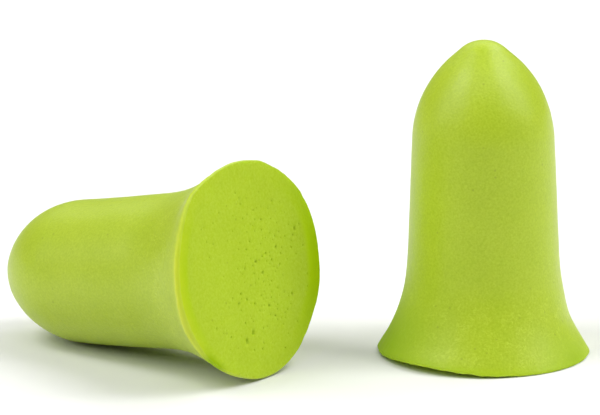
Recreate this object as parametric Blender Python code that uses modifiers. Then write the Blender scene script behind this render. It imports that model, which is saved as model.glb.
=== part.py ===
"""A pair of bell-shaped foam ear plugs.

One plug stands on its flat base, the other lies beside it on its rim and its shoulder.
Lengths are in metres, +Z is up, and the origin is the centre of the standing plug's base.
"""

import math

import bpy
from mathutils import Matrix, Vector

MM = 0.001

# Driving dimensions of a plug, from its nose down to its base
PLUG_LENGTH = 23.4 * MM
NOSE_RADIUS = 2.5 * MM                  # ball at the very tip
NOSE_SLOPE = math.radians(41.5)         # cone under the ball, below the horizontal
CONE_LENGTH = 1.0 * MM
SHOULDER_RADIUS = 8.3 * MM              # ogive between the cone and the barrel
BARREL_TAPER = math.radians(2.3)        # each side, off the plug's axis
FLARE_CURVE_RADIUS = 15.0 * MM          # hollow curve of the bell
FLARE_ANGLE = math.radians(28.5)        # slope at the rim, off the plug's axis
FLARE_STRAIGHT = 0.73 * MM              # straight run between the hollow curve and the rim
FLARE_RADIUS = 7.7 * MM                 # widest circle of the bell
LIP_HEIGHT = 0.4 * MM                   # the widest circle's height above the base
BASE_RADIUS = 7.4 * MM                  # flat base, inside the rounded lip

# Fineness of the turned surface
TURN_STEPS = 60
NOSE_STEPS = 4
SHOULDER_STEPS = 8
BARREL_STEPS = 3
FLARE_STEPS = 8
LIP_STEPS = 3

# The lying plug: its foam stands a little wider than its twin's
LYING_SWELL = 1.035
LYING_BASE_XY = (-16.9 * MM, -5.85 * MM)
LYING_HEADING = math.radians(38.7)      # its nose points to -X, turned this far towards +Y

FOAM_COLOR = (0.43, 0.58, 0.045, 1.0)
FOAM_ROUGHNESS = 0.9


def remove_old_objects():
    for old in list(bpy.data.objects):
        bpy.data.objects.remove(old, do_unlink=True)


def arc_points(start, radius, slope_from, slope_to, steps):
    """Points after start on an arc that leads outwards and down.

    A slope is measured below the horizontal. It grows along a bulging arc and
    shrinks along a hollow one.
    """
    points = []
    for step in range(1, steps + 1):
        slope = slope_from + (slope_to - slope_from) * step / steps
        outwards = radius * abs(math.sin(slope) - math.sin(slope_from))
        down = radius * abs(math.cos(slope) - math.cos(slope_from))
        points.append((start[0] + outwards, start[1] - down))
    return points


def straight_points(start, end, steps):
    """Points after start on a straight line, the last one at end."""
    first = Vector(start)
    last = Vector(end)
    return [tuple(first.lerp(last, step / steps)) for step in range(1, steps + 1)]


def nose_profile(barrel_slope):
    """The ball, the cone and the ogive shoulder, from the axis out to the barrel."""
    points = [(0.0, PLUG_LENGTH)]
    points += arc_points(points[-1], NOSE_RADIUS, 0.0, NOSE_SLOPE, NOSE_STEPS)
    cone_end = (
        points[-1][0] + CONE_LENGTH * math.cos(NOSE_SLOPE),
        points[-1][1] - CONE_LENGTH * math.sin(NOSE_SLOPE),
    )
    points.append(cone_end)
    points += arc_points(points[-1], SHOULDER_RADIUS, NOSE_SLOPE, barrel_slope, SHOULDER_STEPS)
    return points


def flare_profile(barrel_slope):
    """The bell's hollow curve and its straight run, from the barrel out to the rim."""
    rim_slope = math.pi / 2 - FLARE_ANGLE
    curve_width = FLARE_CURVE_RADIUS * (math.sin(barrel_slope) - math.sin(rim_slope))
    curve_height = FLARE_CURVE_RADIUS * (math.cos(rim_slope) - math.cos(barrel_slope))
    top = (
        FLARE_RADIUS - FLARE_STRAIGHT * math.sin(FLARE_ANGLE) - curve_width,
        LIP_HEIGHT + FLARE_STRAIGHT * math.cos(FLARE_ANGLE) + curve_height,
    )
    curve = arc_points(top, FLARE_CURVE_RADIUS, barrel_slope, rim_slope, FLARE_STEPS)
    return [top] + curve + [(FLARE_RADIUS, LIP_HEIGHT)]


def lip_profile():
    """The rounded lip under the widest circle, down to the flat base."""
    points = []
    for step in range(1, LIP_STEPS + 1):
        angle = math.pi / 2 * step / LIP_STEPS
        radius = BASE_RADIUS + (FLARE_RADIUS - BASE_RADIUS) * math.cos(angle)
        points.append((radius, LIP_HEIGHT * (1 - math.sin(angle))))
    return points


def plug_profile(swell):
    """A plug's half outline as (radius, height) pairs, from the tip to the middle of the base."""
    barrel_slope = math.pi / 2 - BARREL_TAPER
    nose = nose_profile(barrel_slope)
    flare = flare_profile(barrel_slope)
    barrel = straight_points(nose[-1], flare[0], BARREL_STEPS)
    outline = nose + barrel + flare[1:] + lip_profile() + [(0.0, 0.0)]
    return [(radius * swell, height) for radius, height in outline]


def foam_material():
    material = bpy.data.materials.new("green_foam")
    material.use_nodes = True
    shader = material.node_tree.nodes["Principled BSDF"]
    shader.inputs["Base Color"].default_value = FOAM_COLOR
    shader.inputs["Roughness"].default_value = FOAM_ROUGHNESS
    shader.inputs["Metallic"].default_value = 0.0
    return material


def turned_plug(name, outline, material, collection):
    """A plug turned about its own Z axis, with its base's centre at the object's origin."""
    mesh = bpy.data.meshes.new(name)
    vertices = [(radius, 0.0, height) for radius, height in outline]
    edges = [(index, index + 1) for index in range(len(vertices) - 1)]
    mesh.from_pydata(vertices, edges, [])
    mesh.materials.append(material)
    plug = bpy.data.objects.new(name, mesh)
    collection.objects.link(plug)
    turn = plug.modifiers.new("turn", 'SCREW')
    turn.axis = 'Z'
    turn.angle = 2 * math.pi
    turn.steps = TURN_STEPS
    turn.render_steps = TURN_STEPS
    turn.use_merge_vertices = True
    turn.merge_threshold = 0.00001
    turn.use_smooth_shade = True
    return plug


def resting_tilt(outline):
    """How far a lying plug's nose drops before its shoulder meets the surface under its rim."""
    rim_radius, rim_height = max(outline)
    slopes = [
        (rim_radius - radius) / (height - rim_height)
        for radius, height in outline
        if height > PLUG_LENGTH / 2
    ]
    return math.atan(min(slopes))


def lay_down(plug, outline):
    """Put a plug on its rim and its shoulder, nose away from +X."""
    tilt = resting_tilt(outline)
    rim_radius, rim_height = max(outline)
    base_height = rim_radius * math.cos(tilt) + rim_height * math.sin(tilt)
    nose_direction = Vector((
        -math.cos(LYING_HEADING) * math.cos(tilt),
        math.sin(LYING_HEADING) * math.cos(tilt),
        -math.sin(tilt),
    ))
    turn = nose_direction.to_track_quat('Z', 'Y').to_matrix().to_4x4()
    place = Matrix.Translation((*LYING_BASE_XY, base_height))
    plug.matrix_world = place @ turn


def main():
    remove_old_objects()
    collection = bpy.data.collections.new("foam_ear_plugs")
    bpy.context.scene.collection.children.link(collection)
    foam = foam_material()

    turned_plug("standing_plug", plug_profile(1.0), foam, collection)

    lying_outline = plug_profile(LYING_SWELL)
    lying_plug = turned_plug("lying_plug", lying_outline, foam, collection)
    lay_down(lying_plug, lying_outline)


main()
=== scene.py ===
"""The looks of a pair of bell-shaped foam ear plugs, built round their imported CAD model.

Each plug is one body of foam: a moulded skin with a fine grain, a softly rounded lip,
and a sliced base with open pores. Lengths are in metres, bearings in degrees.
"""
import math
import random

import bpy
from mathutils import Matrix, Vector, noise
from mathutils.geometry import delaunay_2d_cdt


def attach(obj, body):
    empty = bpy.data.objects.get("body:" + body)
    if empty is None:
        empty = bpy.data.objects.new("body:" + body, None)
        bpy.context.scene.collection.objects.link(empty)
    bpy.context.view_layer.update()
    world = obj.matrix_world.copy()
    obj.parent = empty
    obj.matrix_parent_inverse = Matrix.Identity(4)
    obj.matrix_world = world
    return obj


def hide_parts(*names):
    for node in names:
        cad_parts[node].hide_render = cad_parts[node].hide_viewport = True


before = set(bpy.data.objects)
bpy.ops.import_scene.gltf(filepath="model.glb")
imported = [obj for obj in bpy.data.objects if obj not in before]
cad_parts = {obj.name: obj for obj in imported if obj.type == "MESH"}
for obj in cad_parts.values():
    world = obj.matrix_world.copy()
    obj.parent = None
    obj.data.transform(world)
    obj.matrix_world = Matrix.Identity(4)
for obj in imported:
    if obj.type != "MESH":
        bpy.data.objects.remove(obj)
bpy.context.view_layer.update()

MM = 0.001

# The plug's driving dimensions, as the CAD model has them
PLUG_LENGTH = 23.4 * MM
NOSE_RADIUS = 2.5 * MM
NOSE_SLOPE = math.radians(41.5)
CONE_LENGTH = 1.0 * MM
SHOULDER_RADIUS = 8.3 * MM
BARREL_TAPER = math.radians(2.3)
FLARE_CURVE_RADIUS = 15.0 * MM
FLARE_ANGLE = math.radians(28.5)
FLARE_STRAIGHT = 0.73 * MM
FLARE_RADIUS = 7.7 * MM
LIP_HEIGHT = 0.4 * MM
BASE_RADIUS = 7.4 * MM
LYING_SWELL = 1.035
LYING_BASE_XY = (-16.9 * MM, -5.85 * MM)
LYING_HEADING = math.radians(38.7)

# Fineness of the foam meshes
RING_SPACING = 0.15 * MM
AROUND = 360
LIP_RINGS = 6
FACE_SPACING = 0.17 * MM

# Unevenness of the foam, as layers of noise: (wavelength, height)
SKIN_WAVES = ((7.0 * MM, 0.07 * MM), (1.6 * MM, 0.014 * MM), (0.45 * MM, 0.006 * MM))
FACE_WAVES = ((3.5 * MM, 0.05 * MM), (0.5 * MM, 0.014 * MM))

# The rim wanders a little in radius and in height, with the amounts of a long and a short
# wave. The waves other than the radius's long one are multiples of its fineness.
WANDER_FINENESS = 9.0
SHORT_RADIUS_WAVE = 2.7
LONG_LIFT_WAVE = 1.4
SHORT_LIFT_WAVE = 3.5
RADIUS_WANDER = (0.020 * MM, 0.015 * MM)
LIFT_WANDER = (0.040 * MM, 0.025 * MM)
LIP_STEEPNESS = 1.2                     # a lip's height as a share of its width
RIM_REACH = 1.2 * MM                    # how far up the flare its irregularities reach
LIFT_REACH = 3.0 * MM                   # how far in the base stands off where it is lifted
SKIN_WAVES_FADE = 0.5 * MM              # how near the rim the skin's waves die out
FACE_WAVES_FADE = 1.2 * MM              # and the cut face's

# How far the colours along the rim reach, up the skin or in from the edge of the cut
LIP_COLOR_REACH = 0.38 * MM
# the lip's painted light, a lit edge that glows, fades round the lip, and reaches a little in
# over the cut
PAINTED_RIM_LIGHT_FADE = 1.1                    # round the lip, as a share of its curve
CUT_PAINTED_LIGHT_REACH = 0.12 * MM
CUT_PAINTED_LIGHT_SHARE = 0.2
DEEP_REACH = 0.5 * MM
DEEP_FADE = 0.9 * MM
RICH_FADE = 0.9                         # as a share of the richer colour's reach

# The skin's creases start at this height, and are at their full strength this much lower
CREASE_TOP = 7.5 * MM
CREASE_FADE = 4.0 * MM

# Irregularities of each plug, with every amount in mm. A bearing is seen from the nose,
# anticlockwise from the plug's own +X.
#   rim_swells, rim_lifts, lip_sizes: (bearing, half width, amount)
#   pale_edges, deep_edges: the same; pale_edges where the lip has painted light, a lit edge
#   that glows, and deep_edges where the cut's edge has a darker band; an amount of 1 is the full
#   colour
#   rich_edges: (bearing, half width, reach in from the edge, amount), where the edge of the
#   cut has the richer colour
#   deep_flares: (bearing, half width, reach from the rim, amount), where the flare and
#   the lip have painted shade in the darker colour
#   painted_skin_shade: how bright the skin's colour is, as a share of SKIN_LOOK's; below 1 it is
#       painted shade
#   body_swells: (bearing, half width, height, half height, amount)
#   lean: how far the axis drifts sideways per unit of height
#   bulge: how far the middle of the cut face stands proud
#   pores: (across, up, diameter), with the cut face towards the viewer
STANDING_SHAPE = {
    "swell": 1.0,
    "seed": 3,
    "rim_swells": (
        (180, 40, 0.12), (-5, 30, 0.04), (-9, 7, 0.12), (-24, 11, 0.11), (-42, 20, 0.20),
        (80, 30, -0.06), (-62, 2.5, 0.04), (-77, 2, -0.04), (-95, 3, 0.03),
    ),
    "rim_lifts": ((-130, 38, 0.52), (-100, 3, 0.05), (-146, 3, 0.04)),
    "lip_sizes": ((165, 40, 0.12),),
    "pale_edges": (),
    "rich_edges": ((-90, 75, 0.9, 0.7),),
    "deep_edges": (),
    # painted shade on the flare: up its left side, where the lying plug shades it, and low at the
    # front right
    "deep_flares": ((190, 36, 4.4, 1.15), (-30, 22, 1.6, 0.75)),
    "painted_skin_shade": 1.0,
    "body_swells": (
        (0, 45, 2.5, 1.5, -0.20),
        (90, 90, 6.9, 1.3, 0.05), (-90, 90, 6.9, 1.3, 0.05),
    ),
    "lean": (0.004, 0.0),
    "bulge": 0.0,
    "pores": (),
}
LYING_SHAPE = {
    "swell": LYING_SWELL,
    "seed": 8,
    "rim_swells": (
        (0, 60, 0.27), (180, 60, -0.27),
        (145, 22, 0.18), (165, 16, 0.08), (109, 5, 0.07), (50, 14, 0.34), (8, 12, -0.07),
        (312, 12, -0.10), (293, 17, -0.18), (250, 9, -0.04), (216, 22, -0.22), (203, 14, 0.17),
        (144, 2.5, 0.04), (232, 2.5, -0.04),
    ),
    "rim_lifts": ((60, 30, 0.05), (200, 40, -0.03)),
    "lip_sizes": ((5, 50, 0.11), (338, 13, 0.10)),
    # painted light: the lip's thin left edge, lit and glowing
    "pale_edges": ((358, 45, 1.1),),
    "rich_edges": ((5, 42, 0.55, 0.75), (186, 40, 0.9, 1.1)),
    "deep_edges": ((5, 42, 0.10), (186, 40, 0.45)),
    # painted shade: a strip of the flare and lip at the lower left of the rim, in shadow
    "deep_flares": ((314, 8, 0.9, 1.4),),
    # painted shade: the lying plug's skin is painted darker than the same foam standing
    "painted_skin_shade": 0.94,
    "body_swells": (
        (90, 60, 20.0, 4.0, 0.09), (270, 60, 20.0, 4.0, -0.10), (320, 50, 21.0, 2.5, -0.07),
    ),
    "lean": (0.0, 0.0),
    "bulge": 0.10,
    "pores": (
        (-0.97, -4.4, 0.36), (-1.76, -4.88, 0.36), (5.2, 2.0, 0.26), (1.2, -2.9, 0.28),
        (2.8, 1.1, 0.24), (0.36, 0.55, 0.28), (0.95, -0.4, 0.28), (3.94, -2.6, 0.24),
        (1.6, 0.9, 0.20), (1.15, 0.75, 0.16), (2.15, 0.3, 0.20), (2.96, -0.2, 0.20),
        (-0.95, 0.3, 0.18), (-1.8, -1.4, 0.19), (-1.2, -1.9, 0.22), (-0.4, -2.4, 0.22),
        (-2.1, -2.0, 0.18), (-2.7, -1.5, 0.15), (1.7, -3.75, 0.16), (-1.7, -3.55, 0.19),
        (1.6, 3.4, 0.19), (0.9, 4.2, 0.15), (0.0, 2.1, 0.16), (-0.5, 1.6, 0.15),
        (5.9, 0.6, 0.17), (-3.4, -4.2, 0.16), (-0.2, -5.8, 0.17), (2.3, -6.3, 0.16),
    ),
}
LIP_SIZE = 0.12                         # in mm, where no lip_sizes entry adds to it
PORE_DEPTH = 0.52                       # as a share of a pore's width
SMALL_PORE_DEPTH = 0.32
SMALL_PORES = 170
SMALL_PORE_SIZES = (0.08 * MM, 0.19 * MM)
PORE_MARGIN = 0.8 * MM                  # from the edge of the base to the nearest small pore
PORE_SPACING = 2.0                      # between pores, as a multiple of their radii
PORE_RINGS = ((1.2, 0.0), (0.9, 0.35), (0.55, 0.85))    # shares of the radius and the depth
PORE_SIDES = 12
TINY_PORE_RADIUS = 0.07 * MM            # a pore this small has fewer sides
TINY_PORE_SIDES = 8
PORE_WOBBLE = 0.15
PORE_WOBBLE_LENGTH = 0.1 * MM
PORE_CLEARANCE = 1.7                    # where the face's own points stop, in pore radii

# The points of a cut face, away from its pores
FACE_GRID_REACH = 1.1                   # as a share of the flare's radius
FACE_JITTER = 0.25                      # as a share of their spacing
FACE_MARGIN = 0.7                       # from the face's edge, as a share of their spacing
MERGE_DISTANCE = 1e-7
# Added to a plug's seed, for the face's points and for its waves
FACE_POINTS_SEED = 100
FACE_WAVES_SEED = 20.0
# Where the small pores gather on a cut face: (across, up, spread) in mm
PORE_CLUSTERS = ((2.9, 1.8, 2.2), (0.5, -2.8, 1.9), (0.0, 0.0, 4.0))

# The two surfaces of the foam, with linear colours. The grain is the size of a speckle, the
# speckle is its strength, and the relief is its height.
SKIN_LOOK = {
    "color": (0.460, 0.598, 0.024), "cloud": (0.438, 0.578, 0.019),
    "grain": 0.15 * MM, "speckle": 0.10, "relief": 0.018 * MM,
    "roughness": 0.41, "specular": 0.42, "sheen": 0.05,
}
CUT_LOOK = {
    "color": (0.456, 0.604, 0.040), "cloud": (0.440, 0.582, 0.035),
    "grain": 0.18 * MM, "speckle": 0.068, "relief": 0.034 * MM,
    "roughness": 0.90, "specular": 0.05, "sheen": 0.0,
}
# How strongly the grain changes red, green and blue, so that its lights and darks look pale
# and grey, and not a stronger and a weaker green
GRAIN_SHARES = (1.25, 0.93, 6.0)
# Painted light of a lit lip, the richer colour, and the darker colour: painted shade on flares
# and lip, and a darker band at the cut's edge
PAINTED_RIM_LIGHT_COLOR = (0.590, 0.665, 0.030)
PAINTED_RIM_LIGHT_SHARE = 0.9
RICH_COLOR = (0.440, 0.625, 0.003)
DARK_BAND_AND_PAINTED_SHADE_COLOR = (0.300, 0.465, 0.001)

# Patterns in the foam's colour
CLOUD_SCALE = 260.0                     # clouds in a metre
CLOUD_RANGE = (0.35, 0.65)              # the part of the noise that is spread over the colours
SPECKLE_RANGE = (0.25, 0.75)
CELL_SIZE = 1.4                         # of the relief's cells, as a multiple of the grain
CELL_SHARE = 0.5                        # of the relief, with the rest from the speckle
SPECK_SPACING = 0.85 * MM
SPECK_CHOICE = (0.66, 0.68)             # a cell has a speck where its random number is above
SPECK_EDGE = (0.06, 0.13)               # in cells
SPECK_DARKNESS = 0.20
CREASE_SIZE = 0.75 * MM
CREASE_HALF_WIDTH = 0.045               # as a share of the noise's range
CREASE_PATCH_SIZE = 0.9 * MM
CREASE_PATCH_EDGE = (0.46, 0.56)
CREASE_RELIEF = 0.5                     # as a share of the grain's
CREASE_SHADES = (-0.01, 0.12)           # away from the creases, and in them
SUBSURFACE_SHARE = 0.5
SUBSURFACE_REACH = 0.5 * MM
SUBSURFACE_RADII = (1.0, 0.9, 0.25)

# Camera: where it looks, from how far and how high, and how it is rolled
AIM = Vector((-13.41, 0.0, 11.075)) * MM
CAMERA_DISTANCE = 285 * MM
CAMERA_ELEVATION = math.radians(13.94)
CAMERA_ROLL = math.radians(-0.88)
LENS_MM = 232.9
SENSOR_MM = 36.0

# Stage. The softboxes are a metre away and face the middle of the plugs:
# (name, direction, width, height, power in watts)
SOFTBOXES = (
    ("softbox_left", (-0.64, -0.45, 0.61), 0.25, 0.45, 1.55),
    ("softbox_right", (0.86, -0.10, 0.47), 0.25, 0.45, 1.8),
    ("softbox_front_right", (0.67, -0.40, 0.64), 0.30, 0.45, 1.2),
    ("softbox_far_left", (-0.88, -0.12, 0.42), 0.45, 0.45, 1.7),
    ("softbox_high_left", (-0.55, -0.10, 0.85), 0.40, 0.40, 3.6),
    ("softbox_high_right", (0.55, -0.10, 0.85), 0.40, 0.40, 3.5),
    ("softbox_back_right", (0.50, 0.45, 0.80), 0.40, 0.40, 2.0),
    ("softbox_back", (0.0, 0.80, 0.80), 1.20, 0.60, 2.8),
    ("softbox_top_front", (0.0, -0.45, 0.90), 0.50, 0.40, 1.4),
)
FILL_STRENGTH = 0.08
BACKDROP_STRENGTH = 1.0
FLOOR_HALF_SIZE = 360 * MM
FLOOR_COLOR = (0.855, 0.855, 0.855)
FLOOR_ROUGHNESS = 0.9


# --- outline of a plug ---------------------------------------------------------------------

def arc_points(start, radius, slope_from, slope_to):
    """Points after start on an arc that leads outwards and down, RING_SPACING apart."""
    steps = math.ceil(radius * abs(slope_to - slope_from) / RING_SPACING)
    points = []
    for step in range(1, steps + 1):
        slope = slope_from + (slope_to - slope_from) * step / steps
        outwards = radius * abs(math.sin(slope) - math.sin(slope_from))
        down = radius * abs(math.cos(slope) - math.cos(slope_from))
        points.append((start[0] + outwards, start[1] - down))
    return points


def straight_points(start, end):
    """Points after start on a straight line to end, RING_SPACING apart."""
    first = Vector(start)
    last = Vector(end)
    steps = math.ceil((last - first).length / RING_SPACING)
    return [tuple(first.lerp(last, step / steps)) for step in range(1, steps + 1)]


def skin_outline():
    """The moulded skin's half outline as (radius, height), from the tip to the widest circle."""
    barrel_slope = math.pi / 2 - BARREL_TAPER
    rim_slope = math.pi / 2 - FLARE_ANGLE
    points = [(0.0, PLUG_LENGTH)]
    points += arc_points(points[-1], NOSE_RADIUS, 0.0, NOSE_SLOPE)
    cone_end = (
        points[-1][0] + CONE_LENGTH * math.cos(NOSE_SLOPE),
        points[-1][1] - CONE_LENGTH * math.sin(NOSE_SLOPE),
    )
    points += straight_points(points[-1], cone_end)
    points += arc_points(points[-1], SHOULDER_RADIUS, NOSE_SLOPE, barrel_slope)
    curve_width = FLARE_CURVE_RADIUS * (math.sin(barrel_slope) - math.sin(rim_slope))
    curve_height = FLARE_CURVE_RADIUS * (math.cos(rim_slope) - math.cos(barrel_slope))
    flare_top = (
        FLARE_RADIUS - FLARE_STRAIGHT * math.sin(FLARE_ANGLE) - curve_width,
        LIP_HEIGHT + FLARE_STRAIGHT * math.cos(FLARE_ANGLE) + curve_height,
    )
    points += straight_points(points[-1], flare_top)
    points += arc_points(flare_top, FLARE_CURVE_RADIUS, barrel_slope, rim_slope)
    points += straight_points(points[-1], (FLARE_RADIUS, LIP_HEIGHT))
    return points


# --- unevenness ----------------------------------------------------------------------------

def layered_noise(point, waves, seed):
    """The sum of a few layers of smooth noise at a point, shifted so that none match."""
    total = 0.0
    for index, (wavelength, height) in enumerate(waves):
        shift = Vector((seed * 7.3 + index * 3.1, seed * 2.9, index * 5.7))
        total += height * noise.noise(point / wavelength + shift)
    return total


def bell(distance, half_width):
    """1 in the middle, falling smoothly to about a third at half_width."""
    return math.exp(-(distance / half_width) ** 2)


def angle_apart(first, second):
    """The turn from the second bearing to the first, from -180 to 180 degrees."""
    return (first - second + 180.0) % 360.0 - 180.0


def bumps_at(bearing, bumps):
    """The sum of bell-shaped bumps round the rim at a bearing, in metres."""
    return sum(
        amount * MM * bell(angle_apart(bearing, centre), half_width)
        for centre, half_width, amount in bumps
    )


def smooth_step(value):
    """0 below 0 and 1 above 1, with a smooth rise between them."""
    value = min(1.0, max(0.0, value))
    return value * value * (3.0 - 2.0 * value)


# --- the foam body -------------------------------------------------------------------------

class Rim:
    """The rim of a plug at one bearing."""

    def __init__(self, shape, bearing):
        turn = math.radians(bearing)
        self.outward = Vector((math.cos(turn), math.sin(turn), 0.0))
        around = self.outward * WANDER_FINENESS
        seed = shape["seed"]
        self.lip = LIP_SIZE * MM + bumps_at(bearing, shape["lip_sizes"])
        self.radius = FLARE_RADIUS * shape["swell"] + bumps_at(bearing, shape["rim_swells"])
        long_wave = noise.noise(around + Vector((seed, 0.0, 0.0)))
        short_wave = noise.noise(around * SHORT_RADIUS_WAVE + Vector((seed, 4.0, 0.0)))
        self.radius += RADIUS_WANDER[0] * long_wave
        self.radius += RADIUS_WANDER[1] * short_wave
        self.lift = bumps_at(bearing, shape["rim_lifts"])
        long_wave = noise.noise(around * LONG_LIFT_WAVE + Vector((0.0, seed, 0.0)))
        short_wave = noise.noise(around * SHORT_LIFT_WAVE + Vector((0.0, seed, 2.0)))
        self.lift += LIFT_WANDER[0] * long_wave
        self.lift += LIFT_WANDER[1] * short_wave
        self.lift = max(self.lift, 0.0)
        self.height = self.lift + self.lip * LIP_STEEPNESS
        self.edge_radius = self.radius - self.lip
        # the darker band at the cut's edge, the richer colour, and the painted shade on the flare
        self.deep = min(1.0, bumps_at(bearing, shape["deep_edges"]) / MM)
        self.rich_edges = self.amounts_here(bearing, shape["rich_edges"])
        self.deep_flares = self.amounts_here(bearing, shape["deep_flares"])
        # the lip's painted light stops where the flare has painted shade
        self.pale = min(1.0, bumps_at(bearing, shape["pale_edges"]) / MM)
        self.pale *= 1.0 - self.deep_flare(0.0)

    @staticmethod
    def amounts_here(bearing, entries):
        """Each entry's reach in metres, and its amount at this bearing."""
        return [
            (reach * MM, amount * bell(angle_apart(bearing, centre), half_width))
            for centre, half_width, reach, amount in entries
        ]

    def rich(self, inside):
        """How much of the richer colour the cut has, inside metres away from its edge."""
        return min(1.0, sum(
            amount * (1.0 - smooth_step((inside - reach) / (RICH_FADE * reach)))
            for reach, amount in self.rich_edges
        ))

    def deep_flare(self, to_rim):
        """How much painted shade, in the darker colour, the skin has, to_rim metres away from the
        rim.
        """
        return min(1.0, sum(amount * bell(to_rim, reach) for reach, amount in self.deep_flares))


class FoamPlug:
    """Collects the vertices, faces and painted masks of one plug, in its own frame.

    The plug's own Z runs from the middle of its base to its nose.
    """

    def __init__(self, shape):
        self.shape = shape
        self.seed = shape["seed"]
        self.swell = shape["swell"]
        self.rims = [Rim(shape, 360.0 * step / AROUND) for step in range(AROUND)]
        self.vertices = []
        # masks: painted light on the lip, the richer colour, the darker band with painted shade,
        # and creases
        self.masks = {"pale": [], "rich": [], "deep": [], "crease": []}
        self.skin_faces = []
        self.cut_faces = []

    def add_vertex(self, point, **masks):
        self.vertices.append(point)
        for title, values in self.masks.items():
            values.append(masks.get(title, 0.0))
        return len(self.vertices) - 1

    def body_swell(self, step, height):
        """How far the body swells at one step round it and one height."""
        bearing = 360.0 * step / AROUND
        total = 0.0
        for centre, half_width, middle, half_height, amount in self.shape["body_swells"]:
            share = bell(height / MM - middle, half_height)
            total += amount * MM * share * bell(angle_apart(bearing, centre), half_width)
        return total

    def build_skin(self):
        """The moulded skin, ring by ring from the tip down. Returns its last ring."""
        outline = skin_outline()
        to_rim = [0.0]
        for upper, lower in zip(reversed(outline[:-1]), reversed(outline[1:])):
            to_rim.append(to_rim[-1] + math.dist(upper, lower))
        to_rim.reverse()
        tip = self.add_vertex(self.leant(Vector((0.0, 0.0, PLUG_LENGTH))))
        rings = [
            self.skin_ring(outline, index, to_rim[index]) for index in range(1, len(outline))
        ]
        for step in range(AROUND):
            self.skin_faces.append((tip, rings[0][step], rings[0][(step + 1) % AROUND]))
        for upper, lower in zip(rings, rings[1:]):
            self.join_rings(upper, lower)
        return rings[-1]

    def skin_ring(self, outline, index, to_rim):
        """One ring of the skin, to_rim metres of skin away from the widest circle."""
        radius, height = outline[index]
        before = outline[index - 1]
        after = outline[min(index + 1, len(outline) - 1)]
        normal = Vector((before[1] - after[1], after[0] - before[0])).normalized()
        rim_share = bell(to_rim, RIM_REACH)
        noise_share = 1.0 - bell(to_rim, SKIN_WAVES_FADE)
        lip_share = bell(to_rim, LIP_COLOR_REACH)
        ring = []
        for step, rim in enumerate(self.rims):
            here_radius = radius * self.swell + self.body_swell(step, height)
            here_radius += (rim.radius - FLARE_RADIUS * self.swell) * rim_share
            here_height = height + (rim.height - LIP_HEIGHT) * rim_share
            point = rim.outward * here_radius + Vector((0.0, 0.0, here_height))
            push = layered_noise(point, SKIN_WAVES, self.seed) * noise_share
            point += (rim.outward * normal[0] + Vector((0.0, 0.0, normal[1]))) * push
            crease = smooth_step((CREASE_TOP - height) / CREASE_FADE)
            # the lip's painted light and the flare's painted shade fade up the skin
            ring.append(self.add_vertex(
                self.leant(point), pale=lip_share * rim.pale, rich=lip_share * rim.rich(0.0),
                deep=max(lip_share * rim.deep, rim.deep_flare(to_rim)), crease=crease))
        return ring

    def leant(self, point):
        """The point moved sideways with the plug's slightly leaning axis."""
        lean = self.shape["lean"]
        return point + Vector((lean[0], lean[1], 0.0)) * max(point.z, 0.0)

    def build_lip(self, rim_ring):
        """The rounded lip, in to the edge of the cut face. Returns its last ring."""
        above = rim_ring
        for row in range(1, LIP_RINGS + 1):
            angle = math.pi / 2 * row / LIP_RINGS
            ring = []
            for rim in self.rims:
                radius = rim.radius - rim.lip * (1.0 - math.cos(angle))
                height = rim.lift + (rim.height - rim.lift) * (1.0 - math.sin(angle))
                point = rim.outward * radius + Vector((0.0, 0.0, height))
                # the lip's painted light fades round the lip
                pale = rim.pale * bell(row / LIP_RINGS, PAINTED_RIM_LIGHT_FADE)
                ring.append(self.add_vertex(
                    self.leant(point), pale=pale, rich=rim.rich(0.0),
                    deep=max(rim.deep, rim.deep_flare(0.0)), crease=1.0))
            self.join_rings(above, ring)
            above = ring
        return above

    def join_rings(self, upper, lower):
        for step in range(AROUND):
            beyond = (step + 1) % AROUND
            self.skin_faces.append((upper[step], lower[step], lower[beyond], upper[beyond]))

    def all_pores(self):
        """The placed pores and a seeded scatter of small ones, as (x, y, radius, depth)."""
        chance = random.Random(self.seed)
        pores = [
            (-across * MM, up * MM, size * MM / 2, size * MM * PORE_DEPTH)
            for across, up, size in self.shape["pores"]
        ]
        wanted = len(pores) + SMALL_PORES
        while len(pores) < wanted:
            across, up, spread = chance.choice(PORE_CLUSTERS)
            x = chance.gauss(-across, spread) * MM
            y = chance.gauss(up, spread) * MM
            radius = chance.uniform(*SMALL_PORE_SIZES) / 2
            if math.hypot(x, y) > BASE_RADIUS - PORE_MARGIN:
                continue
            apart = (
                math.hypot(x - px, y - py) > (radius + pr) * PORE_SPACING
                for px, py, pr, _ in pores
            )
            if all(apart):
                pores.append((x, y, radius, radius * 2 * SMALL_PORE_DEPTH))
        return pores

    @staticmethod
    def pore_points(pores):
        """Rings of points down each pore's wall and one at its bottom, with their depths."""
        points = []
        for x, y, radius, depth in pores:
            sides = PORE_SIDES if radius > TINY_PORE_RADIUS else TINY_PORE_SIDES
            for scale, drop in PORE_RINGS:
                for step in range(sides):
                    turn = 2 * math.pi * (step + 0.5 * (scale < 1.0)) / sides
                    wobble = 1.0 + PORE_WOBBLE * math.sin(2 * turn + x / PORE_WOBBLE_LENGTH)
                    reach = radius * scale * wobble
                    place = Vector((x + reach * math.cos(turn), y + reach * math.sin(turn)))
                    points.append((place, drop * depth))
            points.append((Vector((x, y)), depth))
        return points

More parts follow.
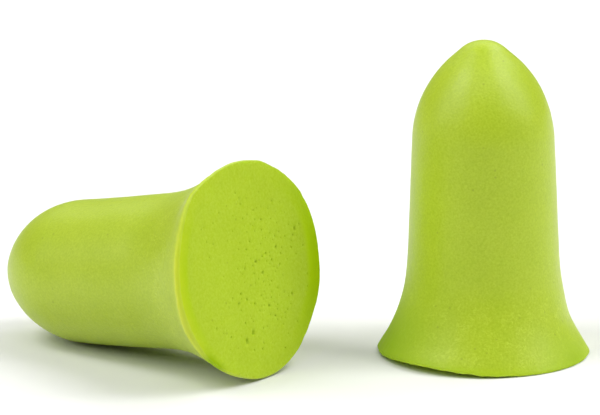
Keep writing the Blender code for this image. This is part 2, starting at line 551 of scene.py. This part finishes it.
    def face_points(self, pores):
        """A shaken triangular grid of points over the cut face, clear of its pores."""
        chance = random.Random(self.seed + FACE_POINTS_SEED)
        row_height = FACE_SPACING * math.sqrt(0.75)
        rows = math.ceil(FLARE_RADIUS * FACE_GRID_REACH / row_height)
        limit = min(rim.edge_radius for rim in self.rims) - FACE_SPACING * FACE_MARGIN
        points = []
        for row in range(-rows, rows + 1):
            for column in range(-rows, rows + 1):
                shake = chance.uniform(-FACE_JITTER, FACE_JITTER)
                x = (column + 0.5 * (row % 2) + shake) * FACE_SPACING
                shake = chance.uniform(-FACE_JITTER, FACE_JITTER)
                y = (row + shake) * row_height
                if math.hypot(x, y) > limit:
                    continue
                in_pore = (
                    abs(x - px) < pr * PORE_CLEARANCE and abs(y - py) < pr * PORE_CLEARANCE
                    for px, py, pr, _ in pores
                )
                if not any(in_pore):
                    points.append((Vector((x, y)), 0.0))
        return points

    def build_cut_face(self, edge_ring):
        """The sliced base: a fine mesh with a well at each pore."""
        pores = self.all_pores()
        points = [(rim.outward.xy * rim.edge_radius, 0.0) for rim in self.rims]
        points += self.pore_points(pores)
        points += self.face_points(pores)
        flat = [place for place, _ in points]
        drops = [drop for _, drop in points]
        boundary = [(step, (step + 1) % AROUND) for step in range(AROUND)]
        # output type 1 keeps only the triangles inside the boundary
        meshed, _, triangles, sources, _, _ = delaunay_2d_cdt(
            flat, boundary, [], 1, MERGE_DISTANCE)
        numbers = []
        for place, source in zip(meshed, sources):
            first = source[0] if source else -1
            if 0 <= first < AROUND:
                numbers.append(edge_ring[first])
            else:
                numbers.append(self.add_cut_vertex(place, drops[first] if first >= 0 else 0.0))
        for triangle in triangles:
            self.cut_faces.append(tuple(numbers[corner] for corner in reversed(triangle)))

    def add_cut_vertex(self, point, drop):
        """A vertex of the cut face, sunk by drop where a pore is."""
        bearing = math.degrees(math.atan2(point.y, point.x)) % 360.0
        rim = self.rims[round(bearing * AROUND / 360.0) % AROUND]
        inside = max(rim.edge_radius - point.length, 0.0)
        share = smooth_step(inside / FACE_WAVES_FADE)
        flat = Vector((point.x, point.y, 0.0))
        rough = layered_noise(flat, FACE_WAVES, self.seed + FACE_WAVES_SEED) * share
        bulge = self.shape["bulge"] * MM * (1.0 - (point.length / rim.edge_radius) ** 2)
        height = drop + rough - bulge + rim.lift * (1.0 - smooth_step(inside / LIFT_REACH))
        if self.shape["bulge"] == 0.0:
            # this plug stands on its cut face
            height = max(height, 0.0)
        # a little of the lip's painted light, in over the cut's edge
        pale = bell(inside, CUT_PAINTED_LIGHT_REACH) * rim.pale * CUT_PAINTED_LIGHT_SHARE
        # the darker band along the cut's edge
        deep = (1.0 - smooth_step((inside - DEEP_REACH) / DEEP_FADE)) * rim.deep
        return self.add_vertex(
            Vector((point.x, point.y, height)), pale=pale, rich=rim.rich(inside), deep=deep)

    def make_object(self, name, materials, matrix):
        """The plug as one object, placed by matrix, with its skin and its cut's materials."""
        edge_ring = self.build_lip(self.build_skin())
        self.build_cut_face(edge_ring)
        mesh = bpy.data.meshes.new(name)
        mesh.from_pydata(self.vertices, [], self.skin_faces + self.cut_faces)
        for material in materials:
            mesh.materials.append(material)
        skin_count = len(self.skin_faces)
        for polygon in mesh.polygons:
            polygon.use_smooth = True
            polygon.material_index = 0 if polygon.index < skin_count else 1
        for title, values in self.masks.items():
            layer = mesh.attributes.new(title, 'FLOAT', 'POINT')
            layer.data.foreach_set("value", values)
        mesh.transform(matrix)
        mesh.update()
        plug = bpy.data.objects.new(name, mesh)
        bpy.context.scene.collection.objects.link(plug)
        return plug


# --- materials -----------------------------------------------------------------------------

def add_node(tree, kind, inputs=None, **settings):
    """A new node. An input that is a socket is linked, and any other is set."""
    node = tree.nodes.new(kind)
    for key, value in settings.items():
        setattr(node, key, value)
    for key, value in (inputs or {}).items():
        if isinstance(value, bpy.types.NodeSocket):
            tree.links.new(value, node.inputs[key])
        else:
            node.inputs[key].default_value = value
    return node


def mix_colors(tree, factor, first, second, blend='MIX'):
    node = add_node(tree, 'ShaderNodeMix', data_type='RGBA', blend_type=blend)
    # a colour mix takes its factor at input 0 and its two colours at 6 and 7
    for place, value in ((0, factor), (6, first), (7, second)):
        socket = node.inputs[place]
        if isinstance(value, bpy.types.NodeSocket):
            tree.links.new(value, socket)
        elif isinstance(value, tuple):
            socket.default_value = (*value, 1.0)
        else:
            socket.default_value = value
    return node.outputs[2]


def map_range(tree, value, low, high, to_low, to_high):
    node = add_node(tree, 'ShaderNodeMapRange', inputs={
        'Value': value, 'From Min': low, 'From Max': high, 'To Min': to_low, 'To Max': to_high,
    })
    return node.outputs['Result']


def attribute(tree, title, full=1.0):
    """One of the painted masks, from 0 to full."""
    value = add_node(tree, 'ShaderNodeAttribute', attribute_name=title).outputs['Fac']
    return map_range(tree, value, 0.0, 1.0, 0.0, full)


def math_node(tree, operation, first, second):
    node = add_node(tree, 'ShaderNodeMath', operation=operation, inputs={0: first, 1: second})
    return node.outputs[0]


def shade(tree, amount, low, high):
    """A colour to multiply by: the grain's change from low to high, as shares of the colour."""
    dark = tuple(1.0 + low * share for share in GRAIN_SHARES)
    light = tuple(1.0 + high * share for share in GRAIN_SHARES)
    return mix_colors(tree, amount, dark, light)


def noise_pattern(tree, place, scale, detail, roughness, distortion=0.0):
    return add_node(tree, 'ShaderNodeTexNoise', inputs={
        'Vector': place, 'Scale': scale, 'Detail': detail, 'Roughness': roughness,
        'Distortion': distortion,
    }).outputs['Fac']


def cell_pattern(tree, place, size):
    return add_node(tree, 'ShaderNodeTexVoronoi', inputs={
        'Vector': place, 'Scale': 1.0 / size, 'Randomness': 1.0,
    })


def speck_mask(tree, place):
    """A dark speck in one cell of three: a closed pore just under the skin."""
    coarse = cell_pattern(tree, place, SPECK_SPACING)
    chosen = add_node(tree, 'ShaderNodeSeparateColor', inputs={
        'Color': coarse.outputs['Color'],
    }).outputs['Red']
    chosen = map_range(tree, chosen, *SPECK_CHOICE, 0.0, SPECK_DARKNESS)
    near = map_range(tree, coarse.outputs['Distance'], *SPECK_EDGE, 1.0, 0.0)
    return math_node(tree, 'MULTIPLY', chosen, near)


def crease_mask(tree, place):
    """Short hair-like creases: the thin lines where a bent noise crosses its middle."""
    bent = noise_pattern(tree, place, 1.0 / CREASE_SIZE, 2.0, 0.55, distortion=1.2)
    ridge = math_node(tree, 'ABSOLUTE', math_node(tree, 'SUBTRACT', bent, 0.5), 0.0)
    ridge = map_range(tree, ridge, 0.0, CREASE_HALF_WIDTH, 1.0, 0.0)
    patches = noise_pattern(tree, place, 1.0 / CREASE_PATCH_SIZE, 1.0, 0.5)
    patches = map_range(tree, patches, *CREASE_PATCH_EDGE, 0.0, 1.0)
    ridge = math_node(tree, 'MULTIPLY', ridge, patches)
    return math_node(tree, 'MULTIPLY', ridge, attribute(tree, "crease"))


def foam_material(name, look, painted_shade_tone):
    """Foam with cloudy colour, a speckle, stray specks and creases, the rim's coloured bands,
    painted shade on the flare and painted light on the lip.
    """
    material = bpy.data.materials.new(name)
    material.use_nodes = True
    tree = material.node_tree
    shader = tree.nodes["Principled BSDF"]
    place = add_node(tree, 'ShaderNodeTexCoord').outputs['Object']
    clouds = noise_pattern(tree, place, CLOUD_SCALE, 3.0, 0.55)
    speckle = noise_pattern(tree, place, 1.0 / look["grain"], 2.0, 0.6)
    cells = cell_pattern(tree, place, look["grain"] * CELL_SIZE).outputs['Distance']

    # below 1, painted shade: a darker copy of the skin
    base = tuple(painted_shade_tone * channel for channel in look["color"])
    cloud = tuple(painted_shade_tone * channel for channel in look["cloud"])
    color = mix_colors(tree, map_range(tree, clouds, *CLOUD_RANGE, 0.0, 1.0), base, cloud)
    tone = map_range(tree, speckle, *SPECKLE_RANGE, 0.0, 1.0)
    grain = shade(tree, tone, -look["speckle"], look["speckle"])
    color = mix_colors(tree, 1.0, color, grain, blend='MULTIPLY')

    color = mix_colors(tree, speck_mask(tree, place), color, (0.0, 0.0, 0.0))
    crease = crease_mask(tree, place)
    color = mix_colors(tree, 1.0, color, shade(tree, crease, *CREASE_SHADES), blend='MULTIPLY')

    color = mix_colors(tree, attribute(tree, "rich"), color, RICH_COLOR)
    # painted shade on the flares and the lip, and the darker band at the cut's edge
    color = mix_colors(tree, attribute(tree, "deep"), color, DARK_BAND_AND_PAINTED_SHADE_COLOR)
    # painted light: the lit lip that glows
    color = mix_colors(tree, attribute(tree, "pale", full=PAINTED_RIM_LIGHT_SHARE), color, PAINTED_RIM_LIGHT_COLOR)
    tree.links.new(color, shader.inputs['Base Color'])

    relief = mix_colors(tree, CELL_SHARE, speckle, cells)
    raised = math_node(tree, 'MULTIPLY', crease, CREASE_RELIEF)
    relief = mix_colors(tree, raised, relief, (1.0, 1.0, 1.0))
    bump = add_node(tree, 'ShaderNodeBump', inputs={
        'Strength': 1.0, 'Distance': look["relief"], 'Height': relief,
    }).outputs['Normal']
    tree.links.new(bump, shader.inputs['Normal'])

    # the darker colour has no gloss, both as painted shade and as the cut's darker band
    roughness = map_range(tree, attribute(tree, "deep"), 0.0, 1.0, look["roughness"], 1.0)
    tree.links.new(roughness, shader.inputs['Roughness'])
    shader.inputs['Specular IOR Level'].default_value = look["specular"]
    shader.inputs['Sheen Weight'].default_value = look["sheen"]
    shader.inputs['Subsurface Weight'].default_value = SUBSURFACE_SHARE
    shader.inputs['Subsurface Radius'].default_value = SUBSURFACE_RADII
    shader.inputs['Subsurface Scale'].default_value = SUBSURFACE_REACH
    return material


# --- placing -------------------------------------------------------------------------------

def lying_matrix():
    """Where the lying plug rests: on its rim and its shoulder, as the CAD model has it."""
    outline = [(radius * LYING_SWELL, height) for radius, height in skin_outline()]
    rim_radius, rim_height = outline[-1]
    tilt = math.atan(min(
        (rim_radius - radius) / (height - rim_height)
        for radius, height in outline
        if height > PLUG_LENGTH / 2
    ))
    nose_direction = Vector((
        -math.cos(LYING_HEADING) * math.cos(tilt),
        math.sin(LYING_HEADING) * math.cos(tilt),
        -math.sin(tilt),
    ))
    base_height = rim_radius * math.cos(tilt) + rim_height * math.sin(tilt)
    turn = nose_direction.to_track_quat('Z', 'Y').to_matrix().to_4x4()
    return Matrix.Translation((*LYING_BASE_XY, base_height)) @ turn


def make_plugs():
    cut = foam_material("foam_cut", CUT_LOOK, 1.0)
    places = (
        (STANDING_SHAPE, "standing_plug", Matrix.Identity(4)),
        (LYING_SHAPE, "lying_plug", lying_matrix()),
    )
    for shape, node, matrix in places:
        # the lying plug's skin is a darker copy of the same foam: painted shade
        skin = foam_material(node + "_skin", SKIN_LOOK, shape["painted_skin_shade"])
        piece = FoamPlug(shape).make_object(node + "_foam", (skin, cut), matrix)
        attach(piece, node)
        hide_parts(node)


# --- stage ---------------------------------------------------------------------------------

def add_camera():
    data = bpy.data.cameras.new("camera")
    data.lens = LENS_MM
    data.sensor_width = SENSOR_MM
    camera = bpy.data.objects.new("camera", data)
    bpy.context.scene.collection.objects.link(camera)
    looking = Vector((0.0, math.cos(CAMERA_ELEVATION), -math.sin(CAMERA_ELEVATION)))
    turn = looking.to_track_quat('-Z', 'Y').to_matrix().to_4x4()
    roll = Matrix.Rotation(CAMERA_ROLL, 4, 'Z')
    camera.matrix_world = Matrix.Translation(AIM - looking * CAMERA_DISTANCE) @ turn @ roll
    bpy.context.scene.camera = camera


def add_softbox(name, direction, width, height, power):
    """An area light, a metre away, that faces the middle of the plugs."""
    data = bpy.data.lights.new(name, 'AREA')
    data.shape = 'RECTANGLE'
    data.size = width
    data.size_y = height
    data.energy = power
    light = bpy.data.objects.new(name, data)
    bpy.context.scene.collection.objects.link(light)
    away = Vector(direction).normalized()
    turn = (-away).to_track_quat('-Z', 'Y').to_matrix().to_4x4()
    light.matrix_world = Matrix.Translation(AIM + away) @ turn


def add_floor():
    mesh = bpy.data.meshes.new("floor")
    half = FLOOR_HALF_SIZE
    corners = [(-half, -half, 0.0), (half, -half, 0.0), (half, half, 0.0), (-half, half, 0.0)]
    mesh.from_pydata(corners, [], [(0, 1, 2, 3)])
    material = bpy.data.materials.new("pale_floor")
    material.use_nodes = True
    shader = material.node_tree.nodes["Principled BSDF"]
    shader.inputs['Base Color'].default_value = (*FLOOR_COLOR, 1.0)
    shader.inputs['Roughness'].default_value = FLOOR_ROUGHNESS
    mesh.materials.append(material)
    floor = bpy.data.objects.new("floor", mesh)
    bpy.context.scene.collection.objects.link(floor)


def add_light():
    world = bpy.data.worlds.new("studio")
    world.use_nodes = True
    background = world.node_tree.nodes["Background"]
    background.inputs['Color'].default_value = (1.0, 1.0, 1.0, 1.0)
    # white where it is seen past the floor's edge, and only a faint fill light elsewhere
    seen = add_node(world.node_tree, 'ShaderNodeLightPath').outputs['Is Camera Ray']
    strength = map_range(world.node_tree, seen, 0.0, 1.0, FILL_STRENGTH, BACKDROP_STRENGTH)
    world.node_tree.links.new(strength, background.inputs['Strength'])
    bpy.context.scene.world = world
    for softbox in SOFTBOXES:
        add_softbox(*softbox)
    bpy.context.scene.view_settings.view_transform = 'Standard'


make_plugs()
add_floor()
add_light()
add_camera()
